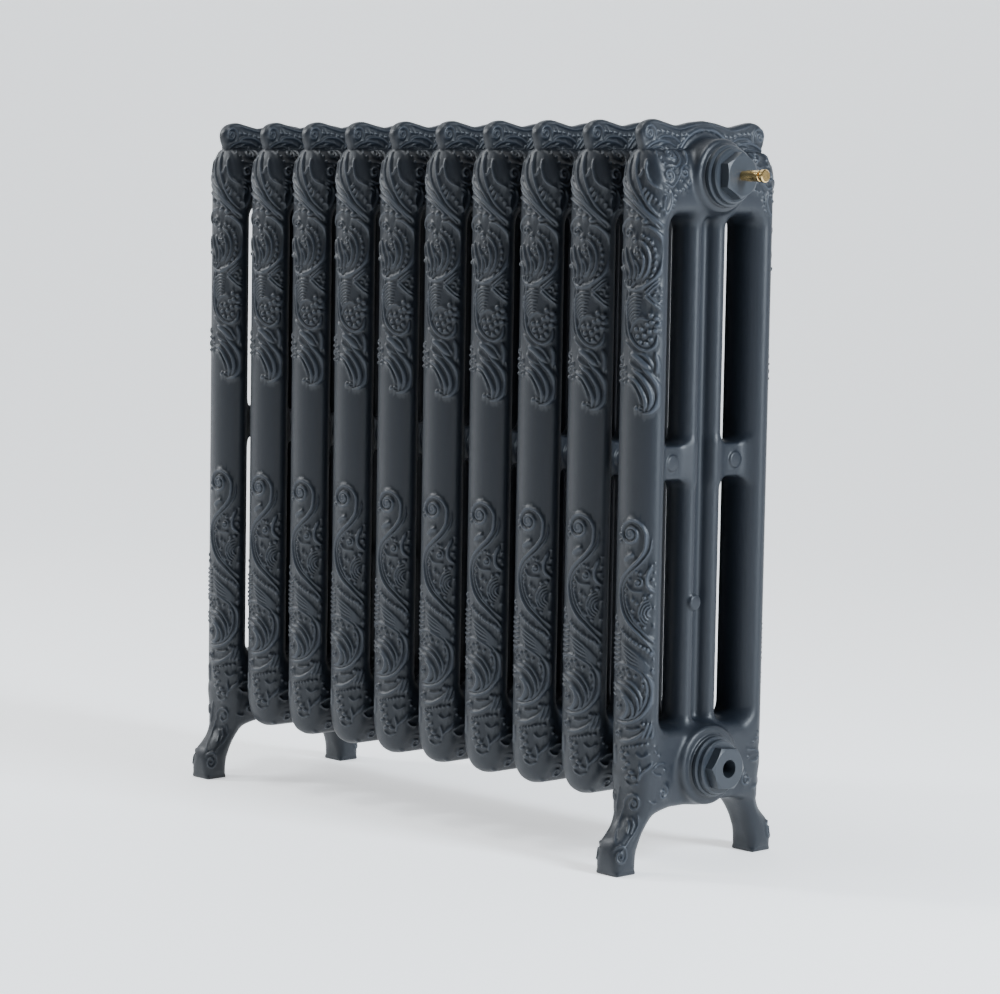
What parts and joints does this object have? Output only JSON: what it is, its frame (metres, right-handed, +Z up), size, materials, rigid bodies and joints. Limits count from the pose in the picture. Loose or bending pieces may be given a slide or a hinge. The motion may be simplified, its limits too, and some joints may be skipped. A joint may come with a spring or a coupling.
{
  "type": "cast iron column radiator",
  "caption": "Free-standing column radiator of hollow cast sections with scroll relief, feet on the end sections, hexagon bushes and a brass air vent.",
  "frame": {"origin": "on the floor below the middle of the overall box", "axes": "+X along the bank towards the air vent end, -Y towards the room (the front faces), +Z up"},
  "size_m": [0.826, 0.2304, 0.76],
  "materials": {
    "painted_iron": "satin anthracite paint over cast iron",
    "painted_fittings": "satin anthracite paint over machined malleable iron",
    "nipple_iron": "bare malleable iron",
    "gasket": "graphited fibre",
    "brass": "polished brass",
    "seal_rubber": "black rubber"
  },
  "bodies": {
    "radiator": {"left_end_section": "painted_iron", "middle_section_2": "painted_iron", "middle_section_3": "painted_iron", "middle_section_4": "painted_iron", "middle_section_5": "painted_iron", "middle_section_6": "painted_iron", "middle_section_7": "painted_iron", "middle_section_8": "painted_iron", "middle_section_9": "painted_iron", "right_end_section": "painted_iron", "bottom_nipple_1": "nipple_iron", "bottom_nipple_2": "nipple_iron", "bottom_nipple_3": "nipple_iron", "bottom_nipple_4": "nipple_iron", "bottom_nipple_5": "nipple_iron", "bottom_nipple_6": "nipple_iron", "bottom_nipple_7": "nipple_iron", "bottom_nipple_8": "nipple_iron", "bottom_nipple_9": "nipple_iron", "top_nipple_1": "nipple_iron", "top_nipple_2": "nipple_iron", "top_nipple_3": "nipple_iron", "top_nipple_4": "nipple_iron", "top_nipple_5": "nipple_iron", "top_nipple_6": "nipple_iron", "top_nipple_7": "nipple_iron", "top_nipple_8": "nipple_iron", "top_nipple_9": "nipple_iron", "bottom_gasket_1": "gasket", "bottom_gasket_2": "gasket", "bottom_gasket_3": "gasket", "bottom_gasket_4": "gasket", "bottom_gasket_5": "gasket", "bottom_gasket_6": "gasket", "bottom_gasket_7": "gasket", "bottom_gasket_8": "gasket", "bottom_gasket_9": "gasket", "top_gasket_1": "gasket", "top_gasket_2": "gasket", "top_gasket_3": "gasket", "top_gasket_4": "gasket", "top_gasket_5": "gasket", "top_gasket_6": "gasket", "top_gasket_7": "gasket", "top_gasket_8": "gasket", "top_gasket_9": "gasket", "bottom_left_bush": "painted_fittings", "bottom_right_bush": "painted_fittings", "top_left_plug": "painted_fittings", "top_right_vent_bush": "painted_fittings", "bottom_left_bush_gasket": "gasket", "bottom_right_bush_gasket": "gasket", "top_left_plug_gasket": "gasket", "top_right_vent_bush_gasket": "gasket", "vent_body": "brass"},
    "vent_seal": {"vent_seal": "seal_rubber"},
    "vent_spindle": {"vent_spindle": "brass"}
  },
  "joints": [
    {"name": "seal_lift", "type": "slide", "parent": "radiator", "child": "vent_seal", "axis": [1, 0, 0], "range_m": [0, 0.001]},
    {"name": "spindle_turn", "type": "hinge", "parent": "vent_seal", "child": "vent_spindle", "pos_m": [0.395, 0, 0.705], "axis": [1, 0, 0], "range_deg": [0, 360]}
  ],
  "couplings": [
    {"joint": "seal_lift", "follows": "spindle_turn", "m_per_rad": 0.000159}
  ]
}
